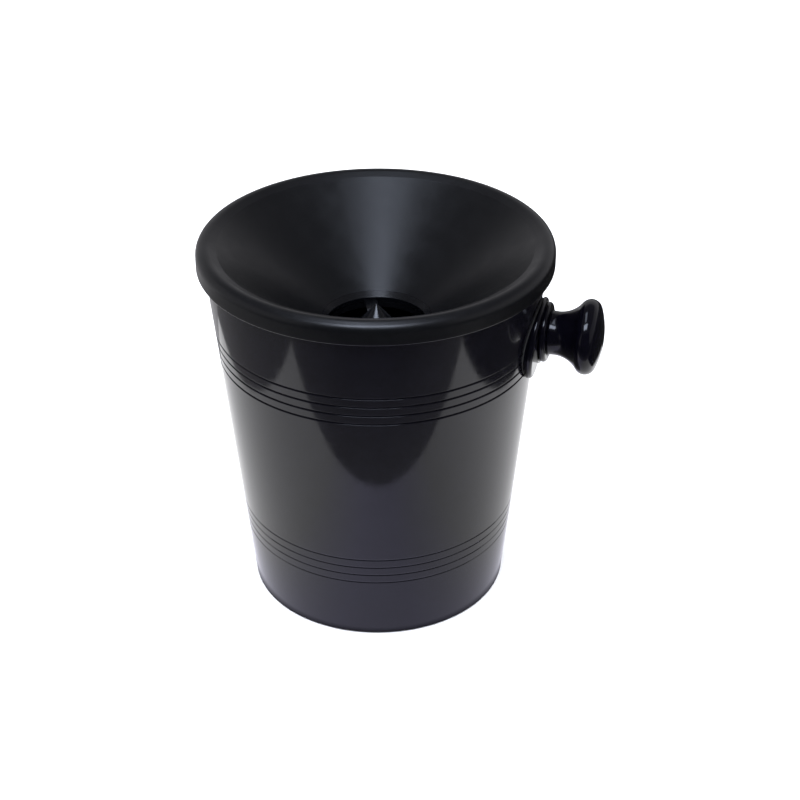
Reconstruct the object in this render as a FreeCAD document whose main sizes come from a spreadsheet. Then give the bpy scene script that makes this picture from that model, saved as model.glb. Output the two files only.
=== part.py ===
import FreeCAD, Part
import math
import os
import Sketcher
from FreeCAD import Placement, Rotation, Vector

# Tasting spittoon: a tapered bucket with one side knob, closed by a lift-off funnel lid that holds a
# drop-in splash cone. Millimetres, +Z up. The origin is on the bucket's axis, on the plane it stands on.
# The knob and everything that fastens it lie on one level axis that points along +X. The rosette and its
# gasket stand square to the tapered wall, on an axis of their own that leans down by the wall's slope.

DRIVING = {
    # bucket
    "wall_foot_radius": 80.8,
    "wall_taper": 0.0995,
    "wall_thickness": 2.6,
    "floor_thickness": 3.2,
    "floor_corner": 5.0,
    "foot_edge": 1.8,
    "foot_groove_inner": 60.0,
    "foot_groove_outer": 70.0,
    "foot_groove_depth": 1.2,
    "bucket_height": 232.0,
    "lip_radius": 105.5,
    "lip_height": 5.0,
    "lip_edge": 1.2,
    "groove_count": 4,
    "groove_pitch": 5.96,
    "groove_wire": 0.75,
    "upper_groove_height": 181.9,
    "upper_groove_depth": 0.45,
    "lower_groove_height": 60.8,
    "lower_groove_depth": 0.35,
    # funnel lid
    "lid_height": 234.9,
    "lid_radius": 107.8,
    "skirt_bottom": 221.5,
    "skirt_inner_radius": 106.0,
    "skirt_edge": 0.7,
    "shoulder_arc": 5.8,
    "band_angle": 24.0,
    "mouth_edge": 1.5,
    "lid_thickness": 2.2,
    "mouth_radius": 95.3,
    "funnel_angle": 39.5,
    "seat_radius": 34.2,
    "seat_height": 176.0,
    "throat_radius": 31.0,
    "throat_outer_radius": 36.6,
    "throat_bottom": 172.0,
    # splash cone insert
    "ring_outer_radius": 33.8,
    "ring_inner_radius": 30.7,
    "ring_edge_height": 179.2,
    "ring_edge": 0.5,
    "cone_top": 190.9,
    "cone_half_angle": 42.0,
    "cone_base_radius": 19.5,
    "cone_shell": 1.8,
    "spoke_count": 3,
    "spoke_width": 8.0,
    "spoke_thickness": 2.6,
    "spoke_start": 10.2,
    "spoke_first_angle": 112.5,
    # knob, rosette and collar
    "knob_height": 185.5,
    "plate_height": 181.0,
    "gasket_radius": 24.2,
    "gasket_thickness": 1.0,
    "rosette_radius": 25.0,
    "rosette_front": 102.6,
    "rosette_edge": 2.0,
    "hub_radius": 19.2,
    "hub_face": 103.4,
    "collar_radius": 18.2,
    "collar_thickness": 4.2,
    "collar_edge": 2.0,
    "spigot_radius": 9.0,
    "fit_gap": 0.05,
    "neck_radius": 13.2,
    "waist_station": 111.5,
    "waist_arc": 17.45,
    "head_radius": 22.8,
    "rim_arc": 6.4,
    "knob_end": 140.0,
    "crown_arc": 62.0,
    # fastening
    "insert_radius": 4.2,
    "insert_length": 12.0,
    "insert_waist_radius": 3.8,
    "insert_band": 4.5,
    "knob_bore_depth": 16.5,
    "screw_radius": 3.0,
    "screw_length": 22.0,
    "screw_tip": 0.6,
    "screw_hole_radius": 3.3,
    "screw_head_radius": 5.25,
    "screw_head_height": 3.3,
    "screw_head_edge": 1.3,
    "socket_across_flats": 4.0,
    "socket_depth": 2.0,
    "washer_radius": 7.0,
    "washer_thickness": 1.2,
    "seal_radius": 8.5,
    "seal_back": 95.4,
    "running_gap": 0.02,
}

FORMULAS = {
    "zero": "0",
    "wall_top_radius": "wall_foot_radius + wall_taper * bucket_height",
    "wall_inner_top": "wall_top_radius - wall_thickness",
    "wall_inner_floor": "wall_foot_radius + wall_taper * floor_thickness - wall_thickness",
    "lip_bottom": "bucket_height - lip_height",
    "wall_lip_radius": "wall_foot_radius + wall_taper * lip_bottom",
    "wall_inner_foot": "wall_foot_radius - wall_thickness",
    "funnel_slope": "tan(funnel_angle * 1 deg)",
    "shoulder_radius": "lid_radius - shoulder_arc",
    "shoulder_height": "lid_height - shoulder_arc",
    "band_end_radius": "shoulder_radius - shoulder_arc * sin(band_angle * 1 deg)",
    "band_end_height": "shoulder_height + shoulder_arc * cos(band_angle * 1 deg)",
    "mouth_height": "band_end_height - (band_end_radius - mouth_radius) * tan(band_angle * 1 deg)",
    "seat_top": "mouth_height - (mouth_radius - seat_radius) * funnel_slope",
    "funnel_drop": "lid_thickness / cos(funnel_angle * 1 deg)",
    "under_radius": "mouth_radius + (bucket_height - mouth_height + funnel_drop) / funnel_slope",
    "under_height": "mouth_height - funnel_drop - (mouth_radius - throat_outer_radius) * funnel_slope",
    "ring_top": "ring_edge_height + (ring_outer_radius - ring_inner_radius) * funnel_slope",
    "cone_slope": "1 / tan(cone_half_angle * 1 deg)",
    "cone_base": "cone_top - cone_base_radius * cone_slope",
    "cone_hollow_top": "cone_top - cone_shell / sin(cone_half_angle * 1 deg)",
    "cone_hollow_radius": "(cone_hollow_top - cone_base) / cone_slope",
    "spoke_end": "ring_inner_radius + ring_edge",
    "spoke_side": "spoke_width / 2",
    "spoke_other_side": "0 - spoke_side",
    "gasket_outside": "gasket_thickness + fit_gap",
    "rosette_back": "gasket_outside + fit_gap",
    "plate_wall_radius": "wall_foot_radius + wall_taper * plate_height",
    "plate_axis_height": "plate_height + wall_taper * plate_wall_radius",
    "lean_run": "1 / sqrt(1 + wall_taper ^ 2)",
    "lean_drop": "wall_taper * lean_run",
    "collar_face": "hub_face + collar_thickness",
    "collar_bore": "spigot_radius + fit_gap",
    "spigot_back": "hub_face + fit_gap",
    "waist_centre": "neck_radius + waist_arc",
    "rim_centre": "head_radius - rim_arc",
    "root_radius": "waist_centre - sqrt(waist_arc ^ 2 - (waist_station - collar_face) ^ 2)",
    "bore_end": "spigot_back + knob_bore_depth",
    "insert_front": "spigot_back + insert_length",
    "insert_waist_back": "spigot_back + insert_band",
    "insert_waist_front": "insert_front - insert_band",
    "insert_outside": "insert_radius - running_gap",
    "insert_bore": "screw_radius + running_gap",
    "screw_seat": "seal_back - washer_thickness",
    "screw_head_back": "screw_seat - screw_head_height",
    "screw_end": "screw_seat + screw_length",
    "screw_tip_start": "screw_end - screw_tip",
    "screw_tip_radius": "screw_radius - screw_tip",
    "socket_corner": "socket_across_flats / sqrt(3)",
}

START, END, CENTRE = 1, 2, 3
UP = Vector(0, 0, 1)
ALONG = Vector(1, 0, 0)
FULL_TURN = 360.0

doc = FreeCAD.newDocument("tasting_spittoon")
sheet = doc.addObject("Spreadsheet::Sheet", "sizes")
pieces = []


def fill_sheet():
    """One row for each driving size and each size that follows from them, with its alias."""
    cells = [(name, str(value)) for name, value in DRIVING.items()]
    cells += [(name, "=" + formula) for name, formula in FORMULAS.items()]
    for row, (name, text) in enumerate(cells, start=1):
        sheet.set(f"A{row}", name)
        sheet.set(f"B{row}", text)
        sheet.setAlias(f"B{row}", name)
    doc.recompute()


def size(name):
    """The value of one cell of the sheet."""
    return float(getattr(sheet, name))


def bind(item, target, name):
    """Binds a property of a feature or a constraint to a cell."""
    item.setExpression(target, "sizes." + name)


def new_body(label):
    """An empty body for one piece."""
    body = doc.addObject("PartDesign::Body", label)
    pieces.append(body)
    return body


def new_sketch(body, name, role="XZ_Plane"):
    """A sketch on one of the body's own origin planes."""
    sketch = body.newObject("Sketcher::SketchObject", name)
    plane = next(item for item in body.Origin.OriginFeatures if item.Role == role)
    sketch.AttachmentSupport = [(plane, "")]
    sketch.MapMode = "FlatFace"
    return sketch


def hold(sketch, kind, geometry, point, name):
    """Fixes one coordinate of a sketch point, counted from the sketch's origin, to a cell."""
    constraint = Sketcher.Constraint(kind, -1, START, geometry, point, size(name))
    bind(sketch, f"Constraints[{sketch.addConstraint(constraint)}]", name)


def hold_radius(sketch, geometry, name):
    """Fixes the radius of an arc or a circle to a cell."""
    constraint = Sketcher.Constraint("Radius", geometry, size(name))
    bind(sketch, f"Constraints[{sketch.addConstraint(constraint)}]", name)


def outline(sketch, corners):
    """A closed outline of straight runs through corners, each a pair of cell names."""
    points = [Vector(size(across), size(up), 0) for across, up in corners]
    for i, point in enumerate(points):
        sketch.addGeometry(Part.LineSegment(point, points[(i + 1) % len(points)]), False)
    for i, (across, up) in enumerate(corners):
        following = (i + 1) % len(corners)
        sketch.addConstraint(Sketcher.Constraint("Coincident", i, END, following, START))
        hold(sketch, "DistanceX", i, START, across)
        hold(sketch, "DistanceY", i, START, up)


def revolve(body, sketch, name, axis="V_Axis", kind="PartDesign::Revolution"):
    """Turns a sketch once round one of its own axes."""
    feature = body.newObject(kind, name)
    feature.Profile = sketch
    feature.ReferenceAxis = (sketch, [axis])
    feature.Angle = FULL_TURN
    doc.recompute()
    return feature


def circles(shape, wanted, axis):
    """Names of the circular edges round an axis through the origin, found by (radius, station)."""
    found = []
    for number, edge in enumerate(shape.Edges, start=1):
        if edge.Curve.TypeId != "Part::GeomCircle":
            continue
        here = (edge.Curve.Radius, edge.Curve.Center.dot(axis))
        if any(math.dist(here, place) < 0.01 for place in wanted):
            found.append(f"Edge{number}")
    return found


def round_off(body, name, wanted, radius, axis=UP):
    """Rounds circular edges of the body's last feature, each given as (radius, station) cells."""
    base = body.Tip
    places = [(size(across), size(station)) for across, station in wanted]
    edges = circles(base.Shape, places, axis)
    if len(edges) != len(wanted):
        raise RuntimeError(f"{name}: {len(edges)} edges found, {len(wanted)} wanted")
    fillet = body.newObject("PartDesign::Fillet", name)
    fillet.Base = (base, edges)
    bind(fillet, "Radius", radius)
    doc.recompute()


def check_cut(feature, before):
    """Stops if a groove or a pocket has removed nothing."""
    if feature.Shape.Volume >= before - 1e-6:
        raise RuntimeError(f"{feature.Name} cuts nothing")


def on_knob_axis(item):
    """Lifts a piece that is modelled round the X axis to the knob's height."""
    bind(item, "Placement.Base.z", "knob_height")


def build_bucket():
    """A tapered wall, a floor, an outward lip, two bands of ring grooves and a screw hole."""
    body = new_body("bucket")
    profile = new_sketch(body, "bucket_profile")
    outline(profile, [
        ("zero", "zero"),
        ("foot_groove_inner", "zero"),
        ("foot_groove_inner", "foot_groove_depth"),
        ("foot_groove_outer", "foot_groove_depth"),
        ("foot_groove_outer", "zero"),
        ("wall_foot_radius", "zero"),
        ("wall_lip_radius", "lip_bottom"),
        ("lip_radius", "lip_bottom"),
        ("lip_radius", "bucket_height"),
        ("wall_inner_top", "bucket_height"),
        ("wall_inner_floor", "floor_thickness"),
        ("zero", "floor_thickness"),
    ])
    revolve(body, profile, "bucket_shell")
    lip = [("lip_radius", "bucket_height"), ("lip_radius", "lip_bottom")]
    round_off(body, "lip_rounding", lip, "lip_edge")
    round_off(body, "foot_rounding", [("wall_foot_radius", "zero")], "foot_edge")
    round_off(body, "floor_rounding", [("wall_inner_floor", "floor_thickness")], "floor_corner")
    for band in ("upper", "lower"):
        cut_groove_band(body, band)
    drill_screw_hole(body)


def cut_groove_band(body, band):
    """Ring grooves, each left by a round wire sunk a little way into the wall."""
    before = body.Tip.Shape.Volume
    sketch = new_sketch(body, f"{band}_groove_profile")
    wire = size("groove_wire")
    for i in range(int(size("groove_count"))):
        rise = f"sizes.{band}_groove_height - {i} * sizes.groove_pitch"
        reach = f"sizes.wall_foot_radius + sizes.wall_taper * ({rise}) + sizes.groove_wire"
        height = size(f"{band}_groove_height") - i * size("groove_pitch")
        depth = size(f"{band}_groove_depth")
        across = size("wall_foot_radius") + size("wall_taper") * height + wire - depth
        circle = sketch.addGeometry(Part.Circle(Vector(across, height, 0), UP, wire), False)
        hold_radius(sketch, circle, "groove_wire")
        for kind, value, text in (
            ("DistanceX", across, f"{reach} - sizes.{band}_groove_depth"),
            ("DistanceY", height, rise),
        ):
            place = sketch.addConstraint(Sketcher.Constraint(kind, -1, START, circle, CENTRE, value))
            sketch.setExpression(f"Constraints[{place}]", text)
    grooves = revolve(body, sketch, f"{band}_grooves", kind="PartDesign::Groove")
    check_cut(grooves, before)


def drill_screw_hole(body):
    """The knob's screw hole, level, through the wall on +X only."""
    before = body.Tip.Shape.Volume
    sketch = new_sketch(body, "screw_hole_profile", "YZ_Plane")
    centre = Vector(0, size("knob_height"), 0)
    circle = sketch.addGeometry(Part.Circle(centre, UP, size("screw_hole_radius")), False)
    hold_radius(sketch, circle, "screw_hole_radius")
    hold(sketch, "DistanceX", circle, CENTRE, "zero")
    hold(sketch, "DistanceY", circle, CENTRE, "knob_height")
    hole = body.newObject("PartDesign::Pocket", "screw_hole")
    hole.Profile = sketch
    hole.Reversed = True
    bind(hole, "Length", "lip_radius")
    doc.recompute()
    check_cut(hole, before)


def build_funnel_lid():
    """A funnel, a sloping band, a round shoulder, a skirt over the bucket's lip and a throat."""
    body = new_body("funnel_lid")
    profile = new_sketch(body, "lid_profile")
    corners = [
        ("band_end_radius", "band_end_height"),
        ("mouth_radius", "mouth_height"),
        ("seat_radius", "seat_top"),
        ("seat_radius", "seat_height"),
        ("throat_radius", "seat_height"),
        ("throat_radius", "throat_bottom"),
        ("throat_outer_radius", "throat_bottom"),
        ("throat_outer_radius", "under_height"),
        ("under_radius", "bucket_height"),
        ("skirt_inner_radius", "bucket_height"),
        ("skirt_inner_radius", "skirt_bottom"),
        ("lid_radius", "skirt_bottom"),
        ("lid_radius", "shoulder_height"),
    ]
    points = [Vector(size(across), size(up), 0) for across, up in corners]
    lines = len(points) - 1
    for i in range(lines):
        profile.addGeometry(Part.LineSegment(points[i], points[i + 1]), False)
    centre = Vector(size("shoulder_radius"), size("shoulder_height"), 0)
    circle = Part.Circle(centre, UP, size("shoulder_arc"))
    band = math.radians(90 + size("band_angle"))
    shoulder = profile.addGeometry(Part.ArcOfCircle(circle, 0, band), False)
    for i in range(lines - 1):
        profile.addConstraint(Sketcher.Constraint("Coincident", i, END, i + 1, START))
    profile.addConstraint(Sketcher.Constraint("Coincident", lines - 1, END, shoulder, START))
    profile.addConstraint(Sketcher.Constraint("Coincident", shoulder, END, 0, START))
    for i, (across, up) in enumerate(corners[:-1]):
        hold(profile, "DistanceX", i, START, across)
        hold(profile, "DistanceY", i, START, up)
    hold(profile, "DistanceY", shoulder, START, "shoulder_height")
    hold(profile, "DistanceX", shoulder, CENTRE, "shoulder_radius")
    hold(profile, "DistanceY", shoulder, CENTRE, "shoulder_height")
    revolve(body, profile, "lid_shell")
    round_off(body, "mouth_rounding", [("mouth_radius", "mouth_height")], "mouth_edge")
    skirt = [("lid_radius", "skirt_bottom"), ("skirt_inner_radius", "skirt_bottom")]
    round_off(body, "skirt_rounding", skirt, "skirt_edge")


def build_splash_cone():
    """The insert: a seat ring flush with the funnel, spokes, and a pointed hollow cone."""
    body = new_body("splash_cone")
    ring = new_sketch(body, "ring_profile")
    outline(ring, [
        ("ring_inner_radius", "seat_height"),
        ("ring_outer_radius", "seat_height"),
        ("ring_outer_radius", "ring_top"),
        ("ring_inner_radius", "ring_edge_height"),
    ])
    revolve(body, ring, "seat_ring")
    round_off(body, "ring_rounding", [("ring_inner_radius", "ring_edge_height")], "ring_edge")
    spoke = new_sketch(body, "spoke_profile", "XY_Plane")
    bind(spoke, "AttachmentOffset.Base.z", "seat_height")
    outline(spoke, [
        ("spoke_start", "spoke_other_side"),
        ("spoke_end", "spoke_other_side"),
        ("spoke_end", "spoke_side"),
        ("spoke_start", "spoke_side"),
    ])
    pad = body.newObject("PartDesign::Pad", "spoke")
    pad.Profile = spoke
    bind(pad, "Length", "spoke_thickness")
    doc.recompute()
    spokes = body.newObject("PartDesign::PolarPattern", "spokes")
    spokes.Originals = [pad]
    spokes.Axis = (spoke, ["N_Axis"])
    spokes.Angle = FULL_TURN
    bind(spokes, "Occurrences", "spoke_count")
    body.Tip = spokes
    doc.recompute()
    cone = new_sketch(body, "cone_profile")
    outline(cone, [
        ("zero", "cone_hollow_top"),
        ("cone_hollow_radius", "cone_base"),
        ("cone_base_radius", "cone_base"),
        ("zero", "cone_top"),
    ])
    revolve(body, cone, "cone")
    body.setExpression("Placement.Rotation.Angle", "sizes.spoke_first_angle * 1 deg")


def build_knob_grip():
    """A waisted neck that flares into a round-rimmed head, with a spigot and a blind bore."""
    body = new_body("knob_grip")
    profile = new_sketch(body, "knob_profile")
    waist = Vector(size("waist_station"), size("waist_centre"), 0)
    reach = size("waist_arc") + size("rim_arc")
    rise = size("waist_centre") - size("rim_centre")
    rim = Vector(waist.x + math.sqrt(reach ** 2 - rise ** 2), size("rim_centre"), 0)
    crown = Vector(size("knob_end") - size("crown_arc"), 0, 0)
    root = Vector(size("collar_face"), size("root_radius"), 0)
    waist_to_rim = waist + (rim - waist) * (size("waist_arc") / reach)
    rim_to_crown = rim + (rim - crown).normalize() * size("rim_arc")
    end = Vector(size("knob_end"), 0, 0)

    corners = [
        ("knob_end", "zero"),
        ("bore_end", "zero"),
        ("bore_end", "insert_radius"),
        ("spigot_back", "insert_radius"),
        ("spigot_back", "spigot_radius"),
        ("collar_face", "spigot_radius"),
        ("collar_face", "root_radius"),
    ]
    points = [Vector(size(along), size(out), 0) for along, out in corners]
    lines = len(points) - 1
    for i in range(lines):
        profile.addGeometry(Part.LineSegment(points[i], points[i + 1]), False)
    neck_arc = add_arc(profile, waist, size("waist_arc"), root, waist_to_rim)
    rim_arc = add_arc(profile, rim, size("rim_arc"), rim_to_crown, waist_to_rim)
    crown_arc = add_arc(profile, crown, size("crown_arc"), end, rim_to_crown)

    for i in range(lines - 1):
        profile.addConstraint(Sketcher.Constraint("Coincident", i, END, i + 1, START))
    profile.addConstraint(Sketcher.Constraint("Coincident", lines - 1, END, neck_arc, START))
    profile.addConstraint(Sketcher.Constraint("Tangent", neck_arc, END, rim_arc, END))
    profile.addConstraint(Sketcher.Constraint("Tangent", rim_arc, START, crown_arc, END))
    profile.addConstraint(Sketcher.Constraint("Coincident", crown_arc, START, 0, START))
    for i, (along, out) in enumerate(corners[:-1]):
        hold(profile, "DistanceX", i, START, along)
        hold(profile, "DistanceY", i, START, out)
    hold(profile, "DistanceX", neck_arc, START, "collar_face")
    hold(profile, "DistanceX", neck_arc, CENTRE, "waist_station")
    hold(profile, "DistanceY", neck_arc, CENTRE, "waist_centre")
    hold_radius(profile, neck_arc, "waist_arc")
    hold_radius(profile, rim_arc, "rim_arc")
    hold(profile, "DistanceY", rim_arc, CENTRE, "rim_centre")
    hold(profile, "DistanceY", crown_arc, CENTRE, "zero")
    revolve(body, profile, "knob_turning", "H_Axis")
    on_knob_axis(body)


def add_arc(sketch, centre, radius, one, other):
    """An arc between two points of a circle; the sketch keeps arcs anticlockwise."""
    circle = Part.Circle(centre, UP, radius)
    return sketch.addGeometry(Part.ArcOfCircle(circle, circle.parameter(one), circle.parameter(other)), False)


def build_knob_collar():
    """The round trim ring between the rosette and the neck, centred by the knob's spigot."""
    body = new_body("knob_collar")
    profile = new_sketch(body, "collar_profile")
    outline(profile, [
        ("hub_face", "collar_bore"),
        ("collar_face", "collar_bore"),
        ("collar_face", "collar_radius"),
        ("hub_face", "collar_radius"),
    ])
    revolve(body, profile, "collar_ring", "H_Axis")
    rims = [("collar_radius", "hub_face"), ("collar_radius", "collar_face")]
    round_off(body, "collar_rounding", rims, "collar_edge", ALONG)
    on_knob_axis(body)


def build_knob_insert():
    """The brass nut moulded into the knob: two gripping bands with a waist between them."""
    body = new_body("knob_insert")
    profile = new_sketch(body, "insert_profile")
    outline(profile, [
        ("spigot_back", "insert_bore"),
        ("insert_front", "insert_bore"),
        ("insert_front", "insert_outside"),
        ("insert_waist_front", "insert_outside"),
        ("insert_waist_front", "insert_waist_radius"),
        ("insert_waist_back", "insert_waist_radius"),
        ("insert_waist_back", "insert_outside"),
        ("spigot_back", "insert_outside"),
    ])
    revolve(body, profile, "insert_sleeve", "H_Axis")
    on_knob_axis(body)


def build_knob_screw():
    """A button-head screw put in from inside the bucket, with a hexagon socket."""
    body = new_body("knob_screw")
    profile = new_sketch(body, "screw_profile")
    outline(profile, [
        ("screw_head_back", "zero"),
        ("screw_end", "zero"),
        ("screw_end", "screw_tip_radius"),
        ("screw_tip_start", "screw_radius"),
        ("screw_seat", "screw_radius"),
        ("screw_seat", "screw_head_radius"),
        ("screw_head_back", "screw_head_radius"),
    ])
    revolve(body, profile, "screw_blank", "H_Axis")
    crown = [("screw_head_radius", "screw_head_back")]
    round_off(body, "head_rounding", crown, "screw_head_edge", ALONG)
    cut_socket(body)
    on_knob_axis(body)


def cut_socket(body):
    """The hexagon socket in the screw's head."""
    before = body.Tip.Shape.Volume
    sketch = new_sketch(body, "socket_profile", "YZ_Plane")
    bind(sketch, "AttachmentOffset.Base.z", "screw_head_back")
    corner = size("socket_corner")
    turns = [math.radians(60 * i) for i in range(6)]
    points = [Vector(corner * math.cos(turn), corner * math.sin(turn), 0) for turn in turns]
    for i in range(6):
        sketch.addGeometry(Part.LineSegment(points[i], points[(i + 1) % 6]), False)
    guide = sketch.addGeometry(Part.Circle(Vector(0, 0, 0), UP, corner), True)
    for i in range(6):
        sketch.addConstraint(Sketcher.Constraint("Coincident", i, END, (i + 1) % 6, START))
        sketch.addConstraint(Sketcher.Constraint("PointOnObject", i, START, guide))
    for i in range(1, 6):
        sketch.addConstraint(Sketcher.Constraint("Equal", 0, i))
    sketch.addConstraint(Sketcher.Constraint("PointOnObject", 0, START, -1))
    hold(sketch, "DistanceX", guide, CENTRE, "zero")
    hold(sketch, "DistanceY", guide, CENTRE, "zero")
    hold_radius(sketch, guide, "socket_corner")
    socket = body.newObject("PartDesign::Pocket", "socket")
    socket.Profile = sketch
    socket.Reversed = True
    bind(socket, "Length", "socket_depth")
    doc.recompute()
    check_cut(socket, before)


def build_screw_washer():
    """The flat washer that spreads the screw head's load."""
    body = new_body("screw_washer")
    profile = new_sketch(body, "washer_profile")
    outline(profile, [
        ("screw_seat", "screw_hole_radius"),
        ("seal_back", "screw_hole_radius"),
        ("seal_back", "washer_radius"),
        ("screw_seat", "washer_radius"),
    ])
    revolve(body, profile, "washer_ring", "H_Axis")
    on_knob_axis(body)


def level_rod(name, radius, start, end):
    """A cylinder along the knob's axis, between two stations."""
    rod = doc.addObject("Part::Cylinder", name)
    rod.Placement = Placement(Vector(0, 0, 0), Rotation(Vector(0, 1, 0), 90))
    bind(rod, "Radius", radius)
    rod.setExpression("Height", f"sizes.{end} - sizes.{start}")
    bind(rod, "Placement.Base.x", start)
    bind(rod, "Placement.Base.z", "knob_height")
    return rod


def square_rod(name, radius, start, end):
    """A cylinder square to the wall, between two stations counted from the bucket's axis."""
    rod = level_rod(name, radius, start, end)
    rod.setExpression("Placement.Rotation.Angle", "90 deg + atan(sizes.wall_taper)")
    rod.setExpression("Placement.Base.x", f"sizes.{start} * sizes.lean_run")
    rod.setExpression("Placement.Base.z", f"sizes.plate_axis_height - sizes.{start} * sizes.lean_drop")
    return rod


def wall_cone(name, offset, outside=True):
    """A solid cone on the bucket's axis: the wall's outer or inner surface, moved out by an offset.
    Its seam is turned to -X, away from the knob."""
    cone = doc.addObject("Part::Cone", name)
    cone.Placement = Placement(Vector(0, 0, 0), Rotation(UP, FULL_TURN / 2))
    foot, top = ("wall_foot_radius", "wall_top_radius") if outside else ("wall_inner_foot", "wall_inner_top")
    cone.setExpression("Radius1", f"sizes.{foot} + sizes.{offset}")
    cone.setExpression("Radius2", f"sizes.{top} + sizes.{offset}")
    bind(cone, "Height", "bucket_height")
    return cone


def combine(kind, name, base, tool):
    """A boolean of two objects."""
    result = doc.addObject("Part::" + kind, name)
    result.Base = base
    result.Tool = tool
    doc.recompute()
    return result


def build_rosette_gasket():
    """A thin rubber saddle that lies on the wall's outer face."""
    disc = square_rod("gasket_disc", "gasket_radius", "spigot_radius", "collar_face")
    skin = combine("Common", "gasket_skin", disc, wall_cone("gasket_outer_cone", "gasket_outside"))
    saddle = combine("Cut", "gasket_saddle", skin, wall_cone("gasket_inner_cone", "fit_gap"))
    hole = level_rod("gasket_hole", "screw_hole_radius", "zero", "knob_end")
    gasket = combine("Cut", "rosette_gasket", saddle, hole)
    pieces.append(gasket)


def build_rosette():
    """The escutcheon: a plate with a flat front, scribed to the wall, and a level seat for the collar."""
    disc = square_rod("rosette_disc", "rosette_radius", "spigot_radius", "rosette_front")
    doc.recompute()
    rounded = doc.addObject("Part::Fillet", "rosette_rounded")
    rounded.Base = disc
    rounded.Edges = [(front_rim(disc.Shape), size("rosette_edge"), size("rosette_edge"))]
    hub = level_rod("rosette_hub", "hub_radius", "spigot_radius", "hub_face")
    stepped = combine("Fuse", "rosette_stepped", rounded, hub)
    seat = level_rod("rosette_seat", "hub_radius", "hub_face", "knob_end")
    flattened = combine("Cut", "rosette_flattened", stepped, seat)
    scribed = combine("Cut", "rosette_scribed", flattened, wall_cone("rosette_inner_cone", "rosette_back"))
    hole = level_rod("rosette_hole", "screw_hole_radius", "zero", "knob_end")
    rosette = combine("Cut", "rosette", scribed, hole)
    pieces.append(rosette)


def front_rim(shape):
    """The number of the round edge that lies farthest out along X."""
    rims = []
    for number, edge in enumerate(shape.Edges, start=1):
        if edge.Curve.TypeId == "Part::GeomCircle":
            rims.append((edge.Curve.Center.x, number))
    if len(rims) != 2:
        raise RuntimeError(f"rosette: {len(rims)} rims found, 2 wanted")
    return max(rims)[1]


def build_seal_washer():
    """A rubber washer, flat on the screw's side and shaped to the wall's inner face."""
    disc = level_rod("seal_disc", "seal_radius", "seal_back", "collar_face")
    saddle = combine("Common", "seal_saddle", disc, wall_cone("seal_cone", "zero", outside=False))
    hole = level_rod("seal_hole", "screw_hole_radius", "zero", "knob_end")
    seal = combine("Cut", "seal_washer", saddle, hole)
    pieces.append(seal)


def check_and_export():
    """Stops on any failed object, then writes one file for each piece."""
    doc.recompute()
    for item in doc.Objects:
        if "Invalid" in item.State or "Error" in item.State:
            raise RuntimeError(f"{item.Name} failed: {item.State}")
    for piece in pieces:
        shape = piece.Shape
        if shape.isNull() or not shape.isValid() or len(shape.Solids) != 1:
            raise RuntimeError(f"{piece.Label} isn't one valid solid")
    os.makedirs("parts", exist_ok=True)
    for piece in pieces:
        piece.Shape.exportStep(f"parts/{piece.Label}.step")
        box = piece.Shape.BoundBox
        print(f"{piece.Label}: {piece.Shape.Volume:.0f} mm3, x {box.XMin:.1f} {box.XMax:.1f},"
              f" y {box.YMin:.1f} {box.YMax:.1f}, z {box.ZMin:.1f} {box.ZMax:.1f}")


fill_sheet()
build_bucket()
build_funnel_lid()
build_splash_cone()
build_knob_grip()
build_knob_collar()
build_knob_insert()
build_knob_screw()
build_screw_washer()
build_seal_washer()
build_rosette_gasket()
build_rosette()
check_and_export()
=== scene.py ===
"""Tasting spittoon: a gloss bucket, a satin funnel lid, a splash cone in its throat and one side knob.

Metres, in the CAD frame: +Z up along the bucket's axis, the floor at z = 0, the knob along +X.
"""

import math

import bmesh
import bpy
from mathutils import Matrix, Vector


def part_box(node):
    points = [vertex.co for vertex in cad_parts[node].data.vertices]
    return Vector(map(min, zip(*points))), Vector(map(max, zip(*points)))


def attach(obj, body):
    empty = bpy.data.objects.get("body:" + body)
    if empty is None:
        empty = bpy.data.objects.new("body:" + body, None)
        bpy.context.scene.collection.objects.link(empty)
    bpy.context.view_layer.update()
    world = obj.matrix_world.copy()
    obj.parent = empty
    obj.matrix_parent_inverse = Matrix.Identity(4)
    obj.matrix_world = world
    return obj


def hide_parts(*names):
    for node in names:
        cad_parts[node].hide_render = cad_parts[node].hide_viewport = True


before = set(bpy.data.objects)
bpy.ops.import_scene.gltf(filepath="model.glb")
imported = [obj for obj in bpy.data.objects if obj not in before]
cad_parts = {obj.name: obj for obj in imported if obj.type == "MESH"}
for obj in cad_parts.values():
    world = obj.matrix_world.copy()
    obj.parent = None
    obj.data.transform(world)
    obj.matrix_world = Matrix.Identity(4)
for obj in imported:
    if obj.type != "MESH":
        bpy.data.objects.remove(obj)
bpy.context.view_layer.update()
MM = 0.001

# ---------------------------------------------------------------- sizes that the frame gives
BUCKET_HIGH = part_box("bucket")[1]
LID_LOW, LID_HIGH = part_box("funnel_lid")
CONE_LOW, CONE_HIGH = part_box("splash_cone")
KNOB_LOW, KNOB_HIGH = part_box("knob_grip")
COLLAR_LOW, COLLAR_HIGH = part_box("knob_collar")
ROSETTE_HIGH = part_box("rosette")[1]

BUCKET_HEIGHT = BUCKET_HIGH.z
LIP_RADIUS = BUCKET_HIGH.x
LID_RADIUS = LID_HIGH.x
KNOB_HEIGHT = (KNOB_LOW.z + KNOB_HIGH.z) / 2

# ---------------------------------------------------------------- sizes repeated from the part's source
WALL_FOOT_RADIUS = 80.8 * MM
WALL_TAPER = 0.0995
WALL_THICKNESS = 2.6 * MM
FLOOR_THICKNESS = 3.2 * MM
GROOVE_COUNT = 4
GROOVE_PITCH = 5.96 * MM
GROOVE_WIRE = 0.75 * MM
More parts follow.
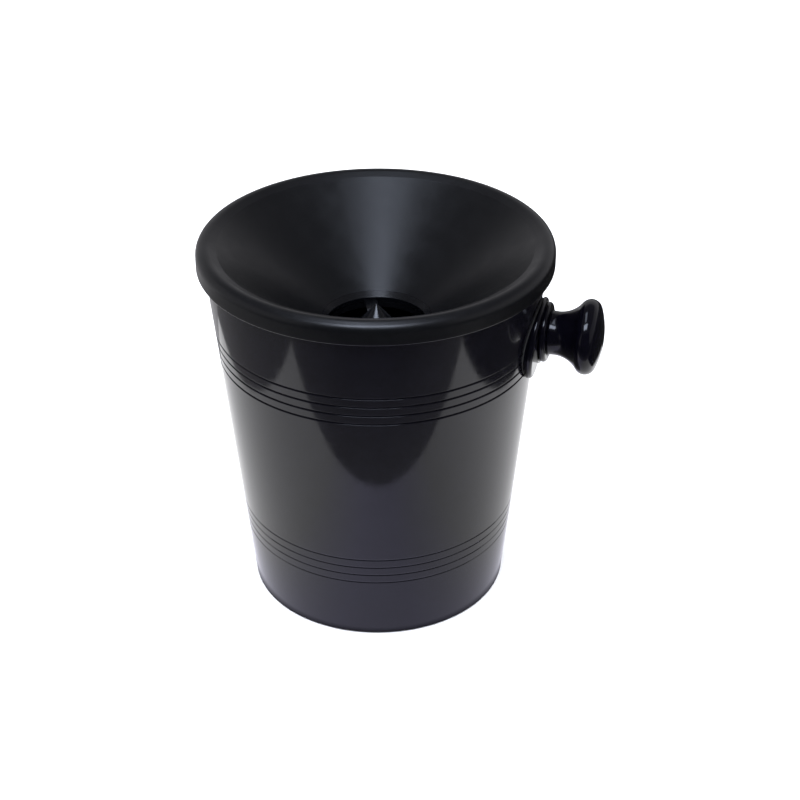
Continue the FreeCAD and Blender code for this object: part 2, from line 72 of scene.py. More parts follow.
# height of a band's top groove, depth in the part, and how many times that depth is cut here
GROOVE_BANDS = ((181.9 * MM, 0.45 * MM, 2.6), (60.8 * MM, 0.35 * MM, 0.8))
FOOT_GROOVE = (60 * MM, 70 * MM)
FOOT_GROOVE_DEPTH = 1.2 * MM
LIP_THICKNESS = 5 * MM

FUNNEL_SLOPE = math.radians(39.5)
FUNNEL_THICKNESS = 2.2 * MM
FUNNEL_MOUTH = 95.3 * MM
RIM_BAND_SLOPE = math.radians(24)
RIM_SHOULDER = 5.8 * MM
SKIRT_INNER = 106 * MM
SKIRT_BOTTOM = 221.5 * MM
THROAT_OUTER = 36.6 * MM
THROAT_INNER = 31 * MM
SEAT_RADIUS = 34.2 * MM
SEAT_HEIGHT = 176 * MM

PLATE_HEIGHT = 181 * MM
ROSETTE_FRONT = 102.6 * MM
ROSETTE_EDGE = 2 * MM
ROSETTE_LIFT = 1.1 * MM
HUB_RADIUS = 19.2 * MM
SCREW_HOLE_RADIUS = 3.3 * MM

SEAT_RING_INNER = 30.7 * MM
SEAT_RING_HEIGHT = 3.2 * MM
CONE_HALF_ANGLE = math.radians(42)
CONE_THICKNESS = 1.8 * MM
SPOKE_COUNT = 3
SPOKE_FIRST_ANGLE = math.radians(112.5)
SPOKE_HALF_WIDTH = 4 * MM
SPOKE_THICKNESS = 2.6 * MM
SPOKE_EDGE = 0.4 * MM
SPOKE_REACH = (10.2 * MM, 31.2 * MM)

SPIGOT_RADIUS = 9 * MM
BORE_RADIUS = 4.2 * MM
BORE_DEPTH = 16.5 * MM
NECK_RADIUS = 13.2 * MM
WAIST_STATION = 111.5 * MM
WAIST_ARC = 17.45 * MM
KNOB_RIM_ARC = 6.4 * MM
COLLAR_BORE = 9.05 * MM
COLLAR_EDGE = 2 * MM

# ---------------------------------------------------------------- sizes that only this model has
GROOVE_SHOULDER = 0.25 * MM
GROOVE_BOTTOM = 0.45 * GROOVE_WIRE
SEAT_RING_EXTRA = 0.38 * MM

# ---------------------------------------------------------------- mesh density
TURN_STEPS = 240
KNOB_STEPS = 160
NECK_STEPS = 14
RIM_STEPS = 22
CROWN_STEPS = 12
FACE_SHARES = (0, 0.05, 0.35, 0.65, 0.95, 1)
EDGE_STEPS = 8
SLIDES = 12
ARC_STEP = math.radians(9)
RUN_STEP = 5 * MM
HOLD = 0.25 * MM


def wall_radius(height):
    """The bucket's outer radius at a height."""
    return WALL_FOOT_RADIUS + WALL_TAPER * height


# ---------------------------------------------------------------- outlines: (radius, station) points
def rounded(corners):
    """Points of an open outline whose corners, (radius, station, rounding), are replaced by arcs."""
    points = [Vector(corners[0][:2])]
    for before, corner, after in zip(corners, corners[1:], corners[2:]):
        here = Vector(corner[:2])
        inward = (here - Vector(before[:2])).normalized()
        outward = (Vector(after[:2]) - here).normalized()
        turn = inward.angle_signed(outward, 0.0)
        if corner[2] == 0 or abs(turn) < 1e-4:
            points.append(here)
            continue
        reach = corner[2] * math.tan(abs(turn) / 2)
        start = here - inward * reach
        side = Vector((-inward.y, inward.x)) * math.copysign(corner[2], -turn)
        centre = start + side
        steps = max(2, math.ceil(abs(turn) / ARC_STEP))
        for i in range(steps + 1):
            points.append(centre + Matrix.Rotation(-turn * i / steps, 2) @ (start - centre))
    points.append(Vector(corners[-1][:2]))
    return points


def divided(points):
    """The same outline with its long runs divided, and a point held close to each end of a run."""
    dense = [points[0]]
    for start, end in zip(points, points[1:]):
        length = (end - start).length
        stations = []
        if length > 4 * HOLD:
            spans = max(1, math.ceil(length / RUN_STEP))
            inner = [length * i / spans for i in range(1, spans)]
            stations = [HOLD] + inner + [length - HOLD]
        for station in stations:
            dense.append(start.lerp(end, station / length))
        dense.append(end)
    return dense


# ---------------------------------------------------------------- meshes
def finish_mesh(name, builder):
    """A smooth-shaded object from a bmesh, with its faces turned outwards."""
    bmesh.ops.remove_doubles(builder, verts=builder.verts, dist=1e-7)
    bmesh.ops.recalc_face_normals(builder, faces=builder.faces)
    mesh = bpy.data.meshes.new(name)
    builder.to_mesh(mesh)
    builder.free()
    mesh.polygons.foreach_set("use_smooth", [True] * len(mesh.polygons))
    piece = bpy.data.objects.new(name, mesh)
    bpy.context.scene.collection.objects.link(piece)
    return piece


def spin(name, points, steps=TURN_STEPS):
    """A piece that is one solid of revolution round Z."""
    builder = bmesh.new()
    add_spin(builder, points, steps)
    return finish_mesh(name, builder)


def add_spin(builder, points, steps=TURN_STEPS):
    """A solid of revolution round Z from an outline whose two ends meet, or lie on the axis."""
    rings = []
    turns = [2 * math.pi * i / steps for i in range(steps)]
    for radius, station in points:
        if radius < 1e-6:
            ring = [(0, 0, station)]
        else:
            ring = [(radius * math.cos(turn), radius * math.sin(turn), station) for turn in turns]
        rings.append([builder.verts.new(spot) for spot in ring])
    for lower, upper in zip(rings, rings[1:]):
        bridge(builder, lower, upper, steps)


def bridge(builder, lower, upper, steps):
    """The faces between two rings, either of which may be one point on the axis."""
    if len(lower) == 1 and len(upper) == 1:
        return
    for i in range(steps):
        below = [lower[i % len(lower)], lower[(i + 1) % steps % len(lower)]]
        above = [upper[(i + 1) % steps % len(upper)], upper[i % len(upper)]]
        builder.faces.new(dict.fromkeys(below + above))


def onto_knob_axis(piece):
    """Turns a piece made round Z onto the knob's axis: its station becomes X."""
    piece.data.transform(Matrix.Translation((0, 0, KNOB_HEIGHT)) @ Matrix.Rotation(math.pi / 2, 4, "Y"))
    return piece


def place(piece, body, node, material):
    """Makes a piece stand for its CAD node, with its body and finish."""
    piece.data.materials.append(material)
    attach(piece, body)
    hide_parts(node)


# ---------------------------------------------------------------- pieces
def bucket_outline():
    """Foot with its shallow ring groove, ribbed wall, lip, and the plain inside."""
    top = wall_radius(BUCKET_HEIGHT)
    lip_bottom = BUCKET_HEIGHT - LIP_THICKNESS
    inner_floor = wall_radius(FLOOR_THICKNESS) - WALL_THICKNESS
    groove_inner, groove_outer = FOOT_GROOVE
    corners = [
        (0, 0, 0),
        (groove_inner, 0, 0.4 * MM),
        (groove_inner, FOOT_GROOVE_DEPTH, 0.4 * MM),
        (groove_outer, FOOT_GROOVE_DEPTH, 0.4 * MM),
        (groove_outer, 0, 0.4 * MM),
        (WALL_FOOT_RADIUS, 0, 1.8 * MM),
    ]
    for height, depth, bite in reversed(GROOVE_BANDS):
        for i in reversed(range(GROOVE_COUNT)):
            corners += groove_corners(height - i * GROOVE_PITCH, depth, bite)
    corners += [
        (wall_radius(lip_bottom), lip_bottom, 0.6 * MM),
        (LIP_RADIUS, lip_bottom, 1.2 * MM),
        (LIP_RADIUS, BUCKET_HEIGHT, 1.2 * MM),
        (top - WALL_THICKNESS, BUCKET_HEIGHT, 0.5 * MM),
        (inner_floor, FLOOR_THICKNESS, 5 * MM),
        (0, FLOOR_THICKNESS, 0),
    ]
    return divided(rounded(corners))


def groove_corners(height, depth, bite):
    """One ring groove: two soft shoulders and a round bottom. A bigger bite gives a darker line."""
    half = math.sqrt(GROOVE_WIRE ** 2 - (GROOVE_WIRE - depth) ** 2)
    return [
        (wall_radius(height - half), height - half, GROOVE_SHOULDER),
        (wall_radius(height) - bite * depth, height, GROOVE_BOTTOM),
        (wall_radius(height + half), height + half, GROOVE_SHOULDER),
    ]


def build_bucket(material):
    """The gloss bucket."""
    piece = spin("bucket_shell", bucket_outline())
    place(piece, "bucket_body", "bucket", material)


def lid_outline():
    """Funnel, sloping rim band, round shoulder, skirt, underside and throat."""
    slope = math.tan(FUNNEL_SLOPE)
    band_rise = math.tan(RIM_BAND_SLOPE)
    band_end = LID_RADIUS - RIM_SHOULDER - RIM_SHOULDER * math.sin(RIM_BAND_SLOPE)
    band_top = LID_HIGH.z - RIM_SHOULDER + RIM_SHOULDER * math.cos(RIM_BAND_SLOPE)
    mouth_height = band_top - (band_end - FUNNEL_MOUTH) * band_rise
    edge_height = band_top + (LID_RADIUS - band_end) * band_rise
    drop = FUNNEL_THICKNESS / math.cos(FUNNEL_SLOPE)
    under_radius = FUNNEL_MOUTH + (BUCKET_HEIGHT - mouth_height + drop) / slope
    seat_top = mouth_height - (FUNNEL_MOUTH - SEAT_RADIUS) * slope
    throat_top = mouth_height - drop - (FUNNEL_MOUTH - THROAT_OUTER) * slope
    start_height = SEAT_HEIGHT - 2 * MM
    corners = [
        (THROAT_INNER, start_height, 0),
        (THROAT_INNER, SEAT_HEIGHT, 0.3 * MM),
        (SEAT_RADIUS, SEAT_HEIGHT, 0.3 * MM),
        (SEAT_RADIUS, seat_top, 0.05 * MM),
        (FUNNEL_MOUTH, mouth_height, 1.5 * MM),
        (LID_RADIUS, edge_height, RIM_SHOULDER),
        (LID_RADIUS, SKIRT_BOTTOM, 0.7 * MM),
        (SKIRT_INNER, SKIRT_BOTTOM, 0.7 * MM),
        (SKIRT_INNER, BUCKET_HEIGHT, 0.4 * MM),
        (under_radius, BUCKET_HEIGHT, 0.4 * MM),
        (THROAT_OUTER, throat_top, 0.4 * MM),
        (THROAT_OUTER, LID_LOW.z, 0.4 * MM),
        (THROAT_INNER, LID_LOW.z, 0.3 * MM),
        (THROAT_INNER, start_height, 0),
    ]
    return divided(rounded(corners))


def build_lid(material):
    """The satin funnel lid."""
    piece = spin("lid_shell", lid_outline())
    place(piece, "lid", "funnel_lid", material)


def seat_ring_outline():
    """The insert's ring, flush with the funnel and a little wider than the part's, to close a seam."""
    outer = CONE_HIGH.y + SEAT_RING_EXTRA
    inner_top = SEAT_HEIGHT + SEAT_RING_HEIGHT
    middle = (SEAT_HEIGHT + inner_top) / 2
    corners = [
        (SEAT_RING_INNER, middle, 0),
        (SEAT_RING_INNER, SEAT_HEIGHT, 0.3 * MM),
        (outer, SEAT_HEIGHT, 0.3 * MM),
        (outer, inner_top + (outer - SEAT_RING_INNER) * math.tan(FUNNEL_SLOPE), 0.05 * MM),
        (SEAT_RING_INNER, inner_top, 0.5 * MM),
        (SEAT_RING_INNER, middle, 0),
    ]
    return divided(rounded(corners))


def cone_outline():
    """The insert's pointed hollow cone."""
    tip = CONE_HIGH.z
    base = CONE_LOW.z
    hollow_tip = tip - CONE_THICKNESS / math.sin(CONE_HALF_ANGLE)
    spread_per_height = math.tan(CONE_HALF_ANGLE)
    corners = [
        (0, hollow_tip, 0),
        ((hollow_tip - base) * spread_per_height, base, 0.3 * MM),
        ((tip - base) * spread_per_height, base, 0.3 * MM),
        (0, tip, 0),
    ]
    return divided(rounded(corners))


def build_splash_cone(material):
    """The insert: a seat ring, a pointed hollow cone, and the spokes between them."""
    builder = bmesh.new()
    add_spin(builder, seat_ring_outline())
    add_spin(builder, cone_outline())
    for i in range(SPOKE_COUNT):
        add_spoke(builder, SPOKE_FIRST_ANGLE + 2 * math.pi * i / SPOKE_COUNT)
    piece = finish_mesh("splash_insert", builder)
    place(piece, "cone", "splash_cone", material)


def add_spoke(builder, angle):
    """One flat bar with softened long edges, from inside the cone's wall into the ring."""
    foot = SEAT_HEIGHT
    top = foot + SPOKE_THICKNESS
    corners = [
        (0, foot, 0),
        (SPOKE_HALF_WIDTH, foot, SPOKE_EDGE),
        (SPOKE_HALF_WIDTH, top, SPOKE_EDGE),
        (-SPOKE_HALF_WIDTH, top, SPOKE_EDGE),
        (-SPOKE_HALF_WIDTH, foot, SPOKE_EDGE),
        (0, foot, 0),
    ]
    section = divided(rounded(corners))[:-1]
    turn = Matrix.Rotation(angle, 4, "Z")
    ends = []
    for reach in SPOKE_REACH:
        end = [turn @ Vector((reach, across, up)) for across, up in section]
        ends.append([builder.verts.new(point) for point in end])
    bridge(builder, ends[0], ends[1], len(ends[0]))
    builder.faces.new(ends[0])
    builder.faces.new(ends[1])


def rosette_frame():
    """The plate's own axes: outwards, across, upwards, and where its axis crosses the bucket's."""
    lean = math.atan(WALL_TAPER)
    outwards = Vector((math.cos(lean), 0, -math.sin(lean)))
    upwards = Vector((math.sin(lean), 0, math.cos(lean)))
    crossing = Vector((0, 0, PLATE_HEIGHT + WALL_TAPER * wall_radius(PLATE_HEIGHT)))
    return outwards, Vector((0, 1, 0)), upwards, crossing


def rosette_ring(radius, station, steps):
    """A circle round the plate's own axis."""
    outwards, across, upwards, crossing = rosette_frame()
    middle = crossing + outwards * station
    ring = []
    for i in range(steps):
        turn = 2 * math.pi * i / steps
        ring.append(middle + across * radius * math.cos(turn) + upwards * radius * math.sin(turn))
    return ring


def level_ring(radius, station, steps):
    """A circle round the knob's level axis."""
    ring = []
    for i in range(steps):
        turn = 2 * math.pi * i / steps
        ring.append(Vector((station, radius * math.cos(turn), KNOB_HEIGHT + radius * math.sin(turn))))
    return ring


def slid_onto(points, direction, gap_of):
    """Slides points along a direction until their gap, a length that grows with the slide, is nil."""
    moved = []
    for point in points:
        for _ in range(SLIDES):
            point = point - direction * gap_of(point)
        moved.append(point)
    return moved


def wall_gap(point):
    """How far a point is outside the surface that the rosette's back is scribed to."""
    return math.hypot(point.x, point.y) - wall_radius(point.z) - ROSETTE_LIFT


def front_gap(point):
    """How far a point is in front of the plate's flat face."""
    outwards, _, _, crossing = rosette_frame()
    return (point - crossing).dot(outwards) - ROSETTE_FRONT


def rosette_rings():
    """The escutcheon's rings from its hole's front, over seat, face and edge, to its scribed back."""
    level = Vector((1, 0, 0))
    outwards = rosette_frame()[0]
    face = COLLAR_LOW.x
    radius = ROSETTE_HIGH.y
    flat = radius - ROSETTE_EDGE
    front_hole = level_ring(SCREW_HOLE_RADIUS, face, KNOB_STEPS)
    rings = [front_hole]
    for seat_radius in (HUB_RADIUS - HOLD, HUB_RADIUS):
        rings.append(level_ring(seat_radius, face, KNOB_STEPS))
    seat_edge = slid_onto(rings[-1], level, front_gap)
    flat_edge = rosette_ring(flat, ROSETTE_FRONT, KNOB_STEPS)
    for share in FACE_SHARES:
        rings.append([start.lerp(end, share) for start, end in zip(seat_edge, flat_edge)])
    for i in range(1, EDGE_STEPS + 1):
        turn = math.pi / 2 * i / EDGE_STEPS
        reach = flat + ROSETTE_EDGE * math.sin(turn)
        station = ROSETTE_FRONT - ROSETTE_EDGE * (1 - math.cos(turn))
        rings.append(rosette_ring(reach, station, KNOB_STEPS))
    for inset in (0, HOLD, radius / 3, radius * 2 / 3):
        ring = rosette_ring(radius - inset, ROSETTE_FRONT, KNOB_STEPS)
        rings.append(slid_onto(ring, outwards, wall_gap))
    rings.append(slid_onto(front_hole, level, wall_gap))
    return rings


def build_rosette(material):
    """The escutcheon: a flat-fronted plate scribed to the wall, with a level seat for the collar."""
    builder = bmesh.new()
    laid = [[builder.verts.new(point) for point in ring] for ring in rosette_rings()]
    for lower, upper in zip(laid, laid[1:] + laid[:1]):
        bridge(builder, lower, upper, KNOB_STEPS)
    piece = finish_mesh("rosette_plate", builder)
    place(piece, "bucket_body", "rosette", material)


def knob_outline():
    """Spigot, waisted neck, round-rimmed head and slightly crowned end, from the bore outwards."""
    end = KNOB_HIGH.x
    back = KNOB_LOW.x
    face = COLLAR_HIGH.x
    bore_end = back + BORE_DEPTH
    waist = Vector((NECK_RADIUS + WAIST_ARC, WAIST_STATION))
    rim_radius = KNOB_HIGH.y - KNOB_RIM_ARC
    reach = WAIST_ARC + KNOB_RIM_ARC
    rim = Vector((rim_radius, waist.y + math.sqrt(reach ** 2 - (waist.x - rim_radius) ** 2)))
    inner_end = end - KNOB_RIM_ARC
    crown_station = (inner_end ** 2 - rim.y ** 2 - rim_radius ** 2) / (2 * (inner_end - rim.y))
    crown = Vector((0, crown_station))
    root = Vector((waist.x - math.sqrt(WAIST_ARC ** 2 - (waist.y - face) ** 2), face))
    touch = waist + (rim - waist) * (WAIST_ARC / reach)
    crest = rim + (rim - crown).normalized() * KNOB_RIM_ARC
    flats = [
        (0, bore_end, 0),
        (BORE_RADIUS, bore_end, 0.2 * MM),
        (BORE_RADIUS, back, 0.3 * MM),
        (SPIGOT_RADIUS, back, 0.4 * MM),
        (SPIGOT_RADIUS, face, 0.2 * MM),
        (root.x, root.y, 0),
    ]
    points = divided(rounded(flats))
    points += swept(waist, root, touch, NECK_STEPS)[1:]
    points += swept(rim, touch, crest, RIM_STEPS)[1:]
    points += swept(crown, crest, Vector((0, end)), CROWN_STEPS)[1:]
    return points


def swept(centre, start, end, steps):
    """Points of the shorter arc round a centre."""
    first = start - centre
    turn = first.angle_signed(end - centre)
    return [centre + Matrix.Rotation(-turn * i / steps, 2) @ first for i in range(steps + 1)]


def collar_outline():
    """The trim ring between the knob and the rosette."""
    radius = COLLAR_HIGH.y
    middle = (COLLAR_LOW.x + COLLAR_HIGH.x) / 2
    corners = [
        (COLLAR_BORE, middle, 0),
        (COLLAR_BORE, COLLAR_LOW.x, 0.2 * MM),
        (radius, COLLAR_LOW.x, COLLAR_EDGE),
        (radius, COLLAR_HIGH.x, COLLAR_EDGE),
        (COLLAR_BORE, COLLAR_HIGH.x, 0.2 * MM),
        (COLLAR_BORE, middle, 0),
    ]
    return divided(rounded(corners))


def build_knob(material):
    """The turned knob and its trim collar."""
    grip = onto_knob_axis(spin("knob_turning", knob_outline(), KNOB_STEPS))
    place(grip, "bucket_body", "knob_grip", material)
    collar = onto_knob_axis(spin("collar_ring", collar_outline(), KNOB_STEPS))
    place(collar, "bucket_body", "knob_collar", material)


# ---------------------------------------------------------------- materials
PLASTIC_IOR = 1.40
KNOB_IOR = 1.33
BUCKET_TONES = ((0.0020, 0.0019, 0.0030), (0.0027, 0.0026, 0.0040))
KNOB_TONES = ((0.0008, 0.0007, 0.0018), (0.0012, 0.0011, 0.0024))
SATIN_TONES = ((0.0011, 0.0012, 0.0020), (0.0018, 0.0020, 0.0028))


def new_material(name, colour, roughness, ior=PLASTIC_IOR):
    """A principled material with its node tree and shader."""
    material = bpy.data.materials.new(name)
    material.use_nodes = True
    shader = material.node_tree.nodes["Principled BSDF"]
    shader.inputs["Base Color"].default_value = (*colour, 1)
    shader.inputs["Roughness"].default_value = roughness
    shader.inputs["IOR"].default_value = ior
    return material, material.node_tree, shader


def noise(tree, scale, detail=3, stretch=(1, 1, 1)):
    """Noise over the object's own coordinates; scale is in features per metre."""
    coordinates = tree.nodes.new("ShaderNodeTexCoord")
    mapping = tree.nodes.new("ShaderNodeMapping")
    mapping.inputs["Scale"].default_value = stretch
    texture = tree.nodes.new("ShaderNodeTexNoise")
    texture.inputs["Scale"].default_value = scale
    texture.inputs["Detail"].default_value = detail
    tree.links.new(coordinates.outputs["Object"], mapping.inputs["Vector"])
    tree.links.new(mapping.outputs["Vector"], texture.inputs["Vector"])
    return texture.outputs["Fac"]


def spread(tree, value, low, high, start=0.3, end=0.7):
    """Maps a range of a value, by default a texture's middle, onto low to high."""
    ranged = tree.nodes.new("ShaderNodeMapRange")
    ranged.inputs["From Min"].default_value = start
    ranged.inputs["From Max"].default_value = end
    ranged.inputs["To Min"].default_value = low
    ranged.inputs["To Max"].default_value = high
    tree.links.new(value, ranged.inputs["Value"])
    return ranged.outputs["Result"]


def tint(tree, value, dark, light):
    """Mixes two colours by a value."""
    mix = tree.nodes.new("ShaderNodeMix")
    mix.data_type = "RGBA"
    mix.inputs["A"].default_value = (*dark, 1)
    mix.inputs["B"].default_value = (*light, 1)
    tree.links.new(value, mix.inputs["Factor"])
    return mix.outputs["Result"]


def relief(tree, shader, layers):
    """Stacks bumps, each (texture, height in metres), under the shader's normal."""
    below = None
    for value, height in layers:
        bump = tree.nodes.new("ShaderNodeBump")
        bump.inputs["Distance"].default_value = height
        tree.links.new(value, bump.inputs["Height"])
        if below is not None:
            tree.links.new(below, bump.inputs["Normal"])
        below = bump.outputs["Normal"]
    tree.links.new(below, shader.inputs["Normal"])


def gloss_plastic(name, tones, roughness, ior=PLASTIC_IOR):
    """Moulded gloss plastic: slow flow waviness, faint specks and uneven polish."""
    material, tree, shader = new_material(name, tones[0], roughness, ior)
    colour = tint(tree, spread(tree, noise(tree, 60), 0, 1), *tones)
    tree.links.new(colour, shader.inputs["Base Color"])
    polish = spread(tree, noise(tree, 220, 5), roughness * 0.7, roughness * 1.4)
    tree.links.new(polish, shader.inputs["Roughness"])
    relief(tree, shader, [(noise(tree, 35, 1), 0.02 * MM), (noise(tree, 1500, 2), 0.001 * MM)])
    return material


def satin_plastic(name, tones, roughness):
    """Spark-eroded satin: a fine even grain with slightly rubbed patches."""
    material, tree, shader = new_material(name, tones[0], roughness)
    colour = tint(tree, spread(tree, noise(tree, 700, 4), 0, 1), *tones)
    tree.links.new(colour, shader.inputs["Base Color"])
    rubbed = spread(tree, noise(tree, 90, 4), roughness * 0.88, roughness * 1.12)
    tree.links.new(rubbed, shader.inputs["Roughness"])
    relief(tree, shader, [(noise(tree, 2600, 3), 0.03 * MM)])
    return material


def rubber(name):
    """Matt black rubber."""
    material, tree, shader = new_material(name, (0.02, 0.02, 0.02), 0.8)
    tree.links.new(spread(tree, noise(tree, 500, 4), 0.7, 0.9), shader.inputs["Roughness"])
    relief(tree, shader, [(noise(tree, 3000, 3), 0.02 * MM)])
    return material


def metal(name, colour, roughness):
    """Turned metal with fine marks round its axis."""
    material, tree, shader = new_material(name, colour, roughness)
    shader.inputs["Metallic"].default_value = 1
    marks = noise(tree, 400, 4, (12, 1, 1))
    tree.links.new(spread(tree, marks, roughness * 0.7, roughness * 1.4), shader.inputs["Roughness"])
    relief(tree, shader, [(marks, 0.01 * MM)])
    return material


def dress_node(node, material):
    """Gives a CAD node that stays its finish."""
    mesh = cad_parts[node].data
    mesh.materials.clear()
    mesh.materials.append(material)


# ---------------------------------------------------------------- studio
VIEW_AZIMUTH = math.radians(15.5)
STUDIO = Matrix.Rotation(VIEW_AZIMUTH, 4, "Z")
TABLE_FRONT = -0.210
TABLE_SIDE = 0.285
TABLE_BACK = 0.240
GLOW_MIDDLE = 0.045
GLOW_TONES = (0.96, 1.45)
GLOW_TONE_SPAN = (0.02, 0.2)
GLOW_COLOURS = ((1, 0.98, 1.3), (1, 1, 1.02))
GLOW_COLOUR_SPAN = (0.03, 0.12)
# painted contact shadow in the floor's reflections: the table's glow falls to this share close round
# the foot
CONTACT_SHADE_TONE = 0.15
CONTACT_SHADE_REACH = 4 * MM
CLOTH_COLOUR = (0.97, 0.96, 1, 1)
FRONT_TONES = (0.04, 0.30)
FRONT_SPAN = (TABLE_FRONT - 0.15, TABLE_FRONT)
BEHIND_TONES = (0.65, 0.03)
BEHIND_SPAN = (-0.25, 0.25)
DARK_TONE = 0.03
GREY_TONE = 0.5
CEILING_TONE = 0.17
CARD_HEIGHT = 1 * MM
ROOM = 2.5
CEILING = 2.0
FLOOR_REACH = 12.0
SKY_COLOUR = (0.98, 0.98, 1, 1)
SKY_STRENGTH = 1.7
STRIP_COLOUR = (0.74, 0.82, 1)
STRIP_SIDE = -0.11
STRIP_HEIGHT = 1.6
# name, place along the view, width, depth and power
STRIPS = (("overhead_back", 0.0, 0.38, 0.9, 5), ("overhead_front", -0.95, 0.95, 0.6, 27))
FILL_PLACE = (-0.3, 0.3, 2.0)
FILL_SIZE = 2.5
FILL_POWER = 14
SENSOR_WIDTH = 36
LENS = 79.89
CAMERA_PLACE = (0, -0.9573, 0.7006)
CAMERA_PAN = math.radians(0.85)
CAMERA_TILT = math.radians(31.15)
CAMERA_ROLL = math.radians(-0.2)


def card(name, corners, material):
    """A flat card with the given corners, in studio coordinates."""
    mesh = bpy.data.meshes.new(name)
    mesh.from_pydata([Vector(corner) for corner in corners], [], [range(len(corners))])
    mesh.materials.append(material)
    piece = bpy.data.objects.new(name, mesh)
    piece.matrix_world = STUDIO
    bpy.context.scene.collection.objects.link(piece)
    return piece


def flat_corners(left, near, right, far, height):
    """The corners of a level card."""
    return [(left, near, height), (right, near, height), (right, far, height), (left, far, height)]


def build_floor():
    """The plain pale floor."""
    material, tree, shader = new_material("floor_paper", (0.9, 0.9, 0.9), 0.9)
    shader.inputs["Specular IOR Level"].default_value = 0
    tone = tint(tree, noise(tree, 3, 2), (0.89, 0.89, 0.89), (0.91, 0.91, 0.91))
    tree.links.new(tone, shader.inputs["Base Color"])
    card("floor", flat_corners(-FLOOR_REACH, -FLOOR_REACH, FLOOR_REACH, FLOOR_REACH, 0), material)


def glow_material(name):
    """A bare emission material, with its tree, its emission and its split and whole coordinates."""
    material = bpy.data.materials.new(name)
    material.use_nodes = True
    tree = material.node_tree
    tree.nodes.clear()
    coordinates = tree.nodes.new("ShaderNodeTexCoord")
    split = tree.nodes.new("ShaderNodeSeparateXYZ")
    glow = tree.nodes.new("ShaderNodeEmission")
    output = tree.nodes.new("ShaderNodeOutputMaterial")
    tree.links.new(coordinates.outputs["Object"], split.inputs["Vector"])
    tree.links.new(glow.outputs["Emission"], output.inputs["Surface"])
    return material, tree, glow, split, coordinates.outputs["Object"]


def turning_cloth(name, axis, tones, span):
    """Cloth as reflections see it, whose tone turns from one to another across a span of an axis."""
    material, tree, glow, split, _ = glow_material(name)
    glow.inputs["Color"].default_value = CLOTH_COLOUR
    tree.links.new(spread(tree, split.outputs[axis], *tones, *span), glow.inputs["Strength"])
    return material


def even_cloth(name, tone):
    """Cloth as reflections see it, of one tone."""
    return turning_cloth(name, "Y", (tone, tone), FRONT_SPAN)


def sideways(tree, across, middle):
    """Distance to either side of a line across the studio."""
    offset = tree.nodes.new("ShaderNodeMath")
    offset.operation = "SUBTRACT"
    offset.inputs[1].default_value = middle
    distance = tree.nodes.new("ShaderNodeMath")
    distance.operation = "ABSOLUTE"
    tree.links.new(across, offset.inputs[0])
    tree.links.new(offset.outputs[0], distance.inputs[0])
    return distance.outputs[0]


def table_glow(name):
    """White paper as reflections see it: dimmer and cooler in the middle, with a painted contact shadow
    round the foot.
    """
    material, tree, glow, split, coordinates = glow_material(name)
    across = split.outputs["X"]
    tone = spread(tree, sideways(tree, across, GLOW_MIDDLE), *GLOW_TONES, *GLOW_TONE_SPAN)
    warmth = spread(tree, sideways(tree, across, 0), 0, 1, *GLOW_COLOUR_SPAN)
    tree.links.new(tint(tree, warmth, *GLOW_COLOURS), glow.inputs["Color"])
    reach = tree.nodes.new("ShaderNodeVectorMath")
    reach.operation = "LENGTH"
    tree.links.new(coordinates, reach.inputs[0])
    # painted contact shadow: the glow fades to a dark ring round the bucket's foot
    foot_span = (WALL_FOOT_RADIUS, WALL_FOOT_RADIUS + CONTACT_SHADE_REACH)
    contact_shade = spread(tree, reach.outputs["Value"], CONTACT_SHADE_TONE, 1, *foot_span)
    strength = tree.nodes.new("ShaderNodeMath")
    strength.operation = "MULTIPLY"
    tree.links.new(tone, strength.inputs[0])
    tree.links.new(contact_shade, strength.inputs[1])
    tree.links.new(strength.outputs[0], glow.inputs["Strength"])
    return material


def flag_cards():
    """The table's glow, the level cloths round it, and the room's walls and ceiling."""
    front = turning_cloth("flag_cloth", "Y", FRONT_TONES, FRONT_SPAN)
    behind = turning_cloth("flag_behind_cloth", "X", BEHIND_TONES, BEHIND_SPAN)
    dark = even_cloth("flag_dark_cloth", DARK_TONE)
    grey = even_cloth("flag_grey_cloth", GREY_TONE)
    flat = {
        "table_glow": (-TABLE_SIDE, TABLE_FRONT, TABLE_SIDE, TABLE_BACK, table_glow("table_glow")),
        "flag_front": (-ROOM, -ROOM, ROOM, TABLE_FRONT, front),
        "flag_left": (-ROOM, TABLE_FRONT, -TABLE_SIDE, TABLE_BACK, front),
        "flag_right": (TABLE_SIDE, TABLE_FRONT, ROOM, TABLE_BACK, dark),
        "flag_behind": (-ROOM, TABLE_BACK, ROOM, ROOM, behind),
    }
    cards = []
    for name, (*edges, finish) in flat.items():
        cards.append(card(name, flat_corners(*edges, CARD_HEIGHT), finish))
    plan = [(-ROOM, -ROOM), (ROOM, -ROOM), (ROOM, ROOM), (-ROOM, ROOM)]
    for i, (start, end) in enumerate(zip(plan, plan[1:] + plan[:1])):
        corners = [(*start, 0), (*end, 0), (*end, CEILING), (*start, CEILING)]
        cards.append(card(f"flag_wall_{i}", corners, grey if i else dark))
    ceiling = flat_corners(-ROOM, -ROOM, ROOM, ROOM, CEILING)
    cards.append(card("flag_ceiling", ceiling, even_cloth("flag_high_cloth", CEILING_TONE)))
    return cards


def build_flags():
    """The table's glow and the dark room beyond its edges, which only reflections see."""
    for flag in flag_cards():
        flag.visible_camera = False
        flag.visible_diffuse = False
        flag.visible_shadow = False
        flag.visible_transmission = False


def area_light(name, place_at, aim, width, depth, power):
    """A rectangular softbox that points at a place."""
    light = bpy.data.lights.new(name, "AREA")
    light.shape = "RECTANGLE"
    light.size = width
    light.size_y = depth
    light.energy = power
    lamp = bpy.data.objects.new(name, light)
    direction = Vector(aim) - Vector(place_at)
    turn = direction.to_track_quat("-Z", "Y").to_matrix().to_4x4()
    lamp.matrix_world = STUDIO @ Matrix.Translation(place_at) @ turn
    bpy.context.scene.collection.objects.link(lamp)
    return lamp


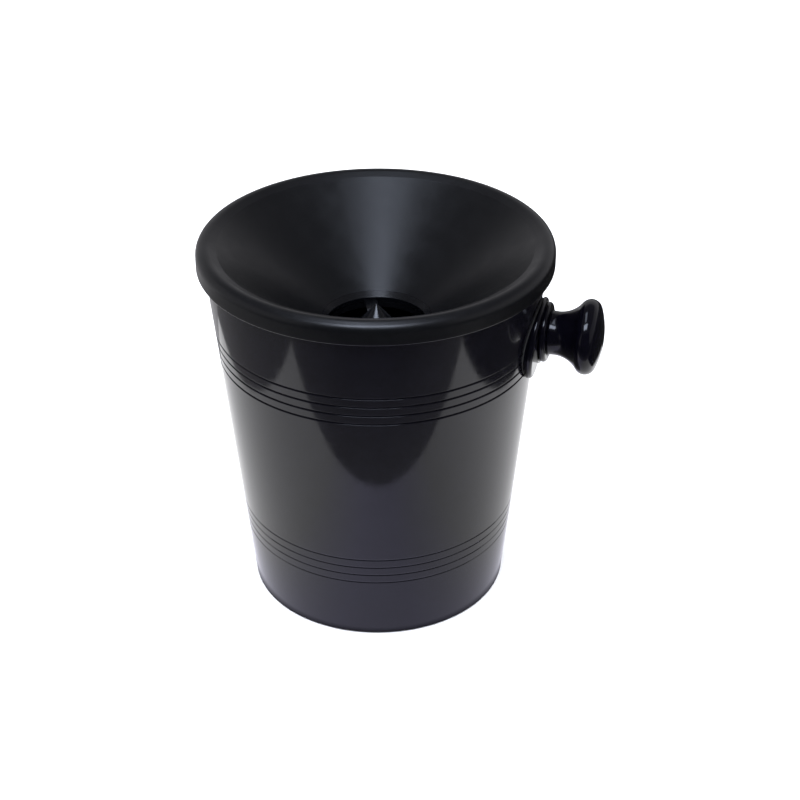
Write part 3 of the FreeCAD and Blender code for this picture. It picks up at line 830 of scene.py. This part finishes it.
def build_lights():
    """White surroundings, two overhead softboxes and a broad fill that reflections don't see."""
    world = bpy.data.worlds.new("studio")
    world.use_nodes = True
    sky = world.node_tree.nodes["Background"]
    sky.inputs["Color"].default_value = SKY_COLOUR
    sky.inputs["Strength"].default_value = SKY_STRENGTH
    bpy.context.scene.world = world
    for name, along, width, depth, power in STRIPS:
        stand = (STRIP_SIDE, along, STRIP_HEIGHT)
        strip = area_light(name, stand, (STRIP_SIDE, along, 0), width, depth, power)
        strip.data.color = STRIP_COLOUR
    fill = area_light("fill", FILL_PLACE, (0, 0, 0), FILL_SIZE, FILL_SIZE, FILL_POWER)
    fill.visible_glossy = False


def build_camera():
    """The photograph's viewpoint, as azimuth, place, pan, tilt, roll and lens."""
    lens = bpy.data.cameras.new("view")
    lens.sensor_width = SENSOR_WIDTH
    lens.lens = LENS
    camera = bpy.data.objects.new("view", lens)
    stand = Matrix.Translation(CAMERA_PLACE) @ Matrix.Rotation(-CAMERA_PAN, 4, "Z")
    tilt = Matrix.Rotation(math.pi / 2 - CAMERA_TILT, 4, "X")
    roll = Matrix.Rotation(CAMERA_ROLL, 4, "Z")
    camera.matrix_world = STUDIO @ stand @ tilt @ roll
    bpy.context.scene.collection.objects.link(camera)
    bpy.context.scene.camera = camera


def build_pieces():
    """The pieces made here and their finishes."""
    knob_gloss = gloss_plastic("knob_gloss", KNOB_TONES, 0.11, KNOB_IOR)
    build_bucket(gloss_plastic("bucket_gloss", BUCKET_TONES, 0.08))
    build_lid(satin_plastic("lid_satin", SATIN_TONES, 0.33))
    build_splash_cone(satin_plastic("insert_satin", SATIN_TONES, 0.24))
    build_knob(knob_gloss)
    build_rosette(knob_gloss)


def dress_fastening():
    """The finishes of the CAD nodes that show as they are."""
    seal = rubber("seal_rubber")
    stainless = metal("stainless", (0.62, 0.62, 0.6), 0.25)
    brass = metal("brass", (0.66, 0.49, 0.2), 0.3)
    for node, material in (
        ("rosette_gasket", seal),
        ("seal_washer", seal),
        ("screw_washer", stainless),
        ("knob_screw", stainless),
        ("knob_insert", brass),
    ):
        dress_node(node, material)


build_pieces()
dress_fastening()
build_floor()
build_flags()
build_lights()
build_camera()
bpy.context.scene.view_settings.view_transform = "Standard"
